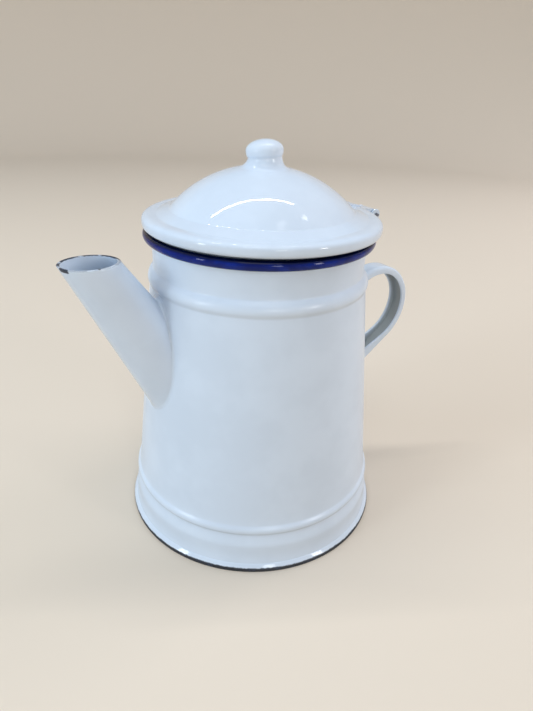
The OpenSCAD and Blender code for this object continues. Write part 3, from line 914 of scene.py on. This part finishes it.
def grip_enamel():
    """White strap, with painted shade down in its channel: a grey colour where the recess lies in shade."""
    paint, white = enamel("grip_enamel")
    channel_shade = paint.node("Attribute", {"attribute_name": "channel_shade"}, output="Fac")
    # painted shade: grey mixed in down the channel
    paint.set(Base_Color=paint.mix(channel_shade, white, CHANNEL_SHADE_GREY))
    return paint.material


def lid_enamel():
    """White lid, whose lip is worn to the dark ground coat where it comes down on the rim; on the flange's
    inner face the dark band reaches higher as painted shade, for the shaded gap over the rim and its
    reflection in the roll.
    """
    paint, white = enamel("lid_enamel")
    x, y, z = paint.axes()
    ragged = paint.noise(2.4, 2, 0.6)
    r = from_line(x, y, SET_BACK)
    # painted shade: on the flange's inner face the dark band runs 0.9 mm higher, so that the gap over the rim
    # looks shaded
    inner = 1 - r.rising(FLANGE_R - 2.6, FLANGE_R - 2.2)
    edge = LIP_Z + 0.35 + inner * 0.9 + (ragged - 0.5) * 0.3
    worn = (1 - (z - edge).rising(-0.12, 0.12)) * r.rising(FLANGE_R - 6, FLANGE_R - 5.5)
    paint.worn(worn, white, BARE_STEEL)
    return paint.material


def wall_enamel(name, **constants):
    """White wall with the cobalt rim: its dipped edge wanders under the roll, and its top is painted
    near-black, a painted shadow of the lid's flange.
    """
    paint, white = enamel(name, **constants)
    x, y, z = paint.axes()
    wander = (paint.noise(9, 2) - 0.5) * 0.9
    high = (z + wander).rising(ROLL_Z - ROLL_R * 0.97, ROLL_Z - ROLL_R * 0.86)
    proud = (from_line(x, y) + wander).rising(ROLL_X - ROLL_R * 0.98, ROLL_X - ROLL_R * 0.8)
    cobalt = paint.mix(paint.noise(5, 2).rising(0.3, 0.7), COBALT, COBALT_DEEP)
    # painted shadow: the rim's top goes near-black under the lid's flange
    lid_shadow = z.rising(ROLL_Z + ROLL_R * 0.25, ROLL_Z + ROLL_R * 0.8)
    cobalt = paint.mix(lid_shadow * 0.9, cobalt, COBALT_UNDER_LID_SHADOW)
    paint.set(Base_Color=paint.mix(high * proud, white, cobalt))
    return paint.material


def spout_enamel():
    """White spout, whose lip is worn to a dark line on its far side and tip, and chipped on its near side."""
    paint, white = enamel("spout_enamel")
    x, y, z = paint.axes()
    ragged = paint.noise(1.6, 3, 0.7)
    shake = (ragged - 0.5) * 0.6
    below_lip = z + shake - SPOUT_MOUTH[2]
    far = y.rising(-2.5, 1.5)
    tip = (x + y * 0.3).rising(-64.6, -63.2)
    patchy = paint.noise(4.5, 3, 0.6).rising(0.3, 0.5)
    worn = below_lip.rising(-0.42, -0.2) * (far * patchy).most(tip).most(patchy * 0.4)
    for chip_x, chip_y, size in CHIPS:
        bare = 1 - (from_line(x, y, chip_x, chip_y) + shake).rising(size * 0.8, size * 1.15)
        worn = worn.most(bare * below_lip.rising(-1.6, -1.2))
    paint.worn(worn, white, paint.mix(ragged, BARE_STEEL, SCALE_BLUE))
    return paint.material


def base_enamel():
    """White seam, worn to blue-black ground coat along the edge it stands on; towards the front the dark band
    is taller, real wear with painted contact shadow in it.
    """
    paint, white = enamel("base_enamel")
    x, y, z = paint.axes()
    ragged = paint.noise(2.2, 3, 0.65)
    # the band grows towards the front: partly wear, partly painted contact shadow under the foot
    front_wear_and_shadow = (x * -0.42 + y * -0.9).rising(-30, 60)
    edge = 0.75 + front_wear_and_shadow + (ragged - 0.5) * 0.8
    worn = 1 - (z - edge).rising(-0.2, 0.25)
    paint.worn(worn, white, paint.mix(ragged.rising(0.5, 0.75), BARE_STEEL, SCALE_BLUE))
    return paint.material


def pin_steel():
    """Dark oxidised steel wire, drawn along its length."""
    paint = Paint("pin_steel_wire", Metallic=1.0)
    drawn = paint.noise(0.6, 3, 0.6, stretch=(1, 0.08, 1))
    paint.set(Base_Color=paint.mix(drawn, WIRE_DARK, WIRE_LIGHT), Roughness=0.35 + drawn * 0.2)
    paint.bump((drawn, 0.02))
    return paint.material


# ---------------------------------------------------------------- studio

def studio_bowl():
    """A round floor that curves up into a wall: a profile turned about the upright axis, in metres.

    The view, glossy reflections and light passing through see it lighter than the light it throws back.
    """
    flat, bend, high = 1.3, 0.5, 1.0
    profile = np.concatenate([line([0.02, 0], [flat, 0], 12), arc(flat, bend, bend, bend, -90, 0, 20)[1:],
                              [[flat + bend, high]]])
    t = all_round(96)
    grid = np.stack([profile[:, :1] * np.cos(t), profile[:, :1] * np.sin(t), profile[:, 1:] + 0 * t], -1)
    rows, columns = grid.shape[:2]
    faces = grid_faces(rows, columns, False) + [list(range(columns))[::-1]]
    mesh = bpy.data.meshes.new("studio_bowl")
    mesh.from_pydata(grid.reshape(-1, 3), [], faces)
    mesh.polygons.foreach_set("use_smooth", np.ones(len(mesh.polygons), bool))
    bowl = bpy.data.objects.new("studio_bowl", mesh)
    bpy.context.scene.collection.objects.link(bowl)
    paint = Paint("studio_paper", Roughness=0.9)
    camera, glossy, through = (paint.node("LightPath", output=f"Is {kind} Ray")
                               for kind in ("Camera", "Glossy", "Transmission"))
    paint.set(Base_Color=paint.mix(camera + glossy + through, tint(186, 172, 154), tint(224, 212, 196)))
    mesh.materials.append(paint.material)


POT_MIDDLE = 0.1               # height at which the lights look, in metres


def softbox(name, place, size, power, colour, along=(0, 0, 1), mirrored=True):
    """A rectangular light that looks at the pot; its second side lies as near to `along` as it can.

    `mirrored` says whether the enamel shows its reflection.
    """
    light = bpy.data.lights.new(name, "AREA")
    light.shape, light.size, light.size_y = "RECTANGLE", *size
    light.energy, light.color = power, colour
    lamp = bpy.data.objects.new(name, light)
    back = (Vector(place) - Vector((0, 0, POT_MIDDLE))).normalized()
    side = Vector(along).cross(back).normalized()
    lamp.matrix_world = Matrix([[*row] for row in zip(side, back.cross(side), back)]).to_4x4()
    lamp.location = place
    lamp.visible_glossy = mirrored
    bpy.context.scene.collection.objects.link(lamp)


def toward(compass, height, distance):
    """A place seen from the pot at a compass angle (0 is +Y, 90 is +X) and a height angle, in degrees."""
    c, h = math.radians(compass), math.radians(height)
    level = distance * math.cos(h)
    return level * math.sin(c), level * math.cos(c), POT_MIDDLE + distance * math.sin(h)


def light_studio():
    """Cool daylight from a soft sky and both sides, a tube overhead, three windows and two small lamps."""
    world = bpy.data.worlds.new("studio_air")
    world.use_nodes = True
    air = world.node_tree.nodes["Background"]
    air.inputs["Color"].default_value = (0.86, 0.94, 1.04, 1)
    air.inputs["Strength"].default_value = 0.5
    bpy.context.scene.world = world
    softbox("tube_light", (-0.02, 0.34, 1.45), (0.026, 1.5), 6.0, (1.0, 0.99, 0.96), along=(1.42, -0.7, 0))
    softbox("sky_light", toward(-150, 62, 1.5), (0.8, 0.6), 2.2, (0.98, 0.97, 0.95))
    softbox("left_light", toward(-82, 20, 1.4), (1.0, 0.9), 8.2, (0.76, 0.96, 1.14), mirrored=False)
    softbox("right_light", toward(100, 23, 1.5), (1.0, 0.9), 7.2, (0.98, 0.96, 1.03), mirrored=False)
    softbox("left_window", toward(-93, 16, 1.6), (0.22, 0.42), 2.8, (0.88, 0.96, 1.04))
    softbox("near_window", toward(-165, 15, 1.6), (0.25, 0.46), 2.5, (0.94, 0.98, 1.0))
    softbox("right_window", toward(155, 16, 1.6), (0.24, 0.46), 3.4, (1.0, 0.98, 0.99))
    softbox("high_lamp", toward(159, 72, 1.5), (0.22, 0.12), 0.12, (1.0, 0.98, 0.97))
    softbox("right_lamp", toward(113, 60, 1.5), (0.12, 0.1), 0.16, (1.0, 0.98, 0.97))


def place_camera():
    """The viewing angle: where it stands, its heading and dip, and the slight roll of a hand-held view."""
    heading, dip, roll = math.radians(33.272), math.radians(27.094), math.radians(2.482)
    ahead = Vector((math.sin(heading) * math.cos(dip), math.cos(heading) * math.cos(dip), -math.sin(dip)))
    level = Vector((math.cos(heading), -math.sin(heading), 0))
    up = level.cross(ahead)
    right = level * math.cos(roll) + up * math.sin(roll)
    top = up * math.cos(roll) - level * math.sin(roll)
    lens = bpy.data.cameras.new("view")
    long_side, focal_pixels = 711, 540
    lens.sensor_width = 36
    lens.lens = focal_pixels / long_side * lens.sensor_width
    lens.clip_start = 0.01
    camera = bpy.data.objects.new("view", lens)
    camera.matrix_world = Matrix([[*row] for row in zip(right, top, -ahead)]).to_4x4()
    camera.location = (-0.12366, -0.19790, 0.19650)
    bpy.context.scene.collection.objects.link(camera)
    bpy.context.scene.camera = camera
    bpy.context.scene.view_settings.view_transform = "Standard"


# ---------------------------------------------------------------- the pot, put together

def main():
    """Every piece with its finish, then the studio round them."""
    white, wall = plain_enamel(), make_wall()
    finish = [
        (wall, wall_enamel("wall_enamel", Roughness=WALL_GLOSS)),
        (make_base(), base_enamel()),
        (make_spout(), spout_enamel()),
        (make_handle(), grip_enamel()),
        (make_grip_foot("high_foot", foot_height(GRIP_HIGH_R, GRIP_HIGH_SLOPE, 1)), white),
        (make_grip_foot("low_foot", foot_height(GRIP_LOW_R, GRIP_LOW_SLOPE, -1)), white),
        (make_lid(), lid_enamel()),
        (make_collar(), white),
        (make_knob(), white),
        (make_leaf(), white),
        (make_saddle(), white),
        (make_pin(), pin_steel()),
        *((ear, white) for ear in make_ears()),
    ]
    for piece, material in finish:
        piece.data.materials.append(material)
    coat_rim(wall)
    studio_bowl()
    light_studio()
    place_camera()


main()
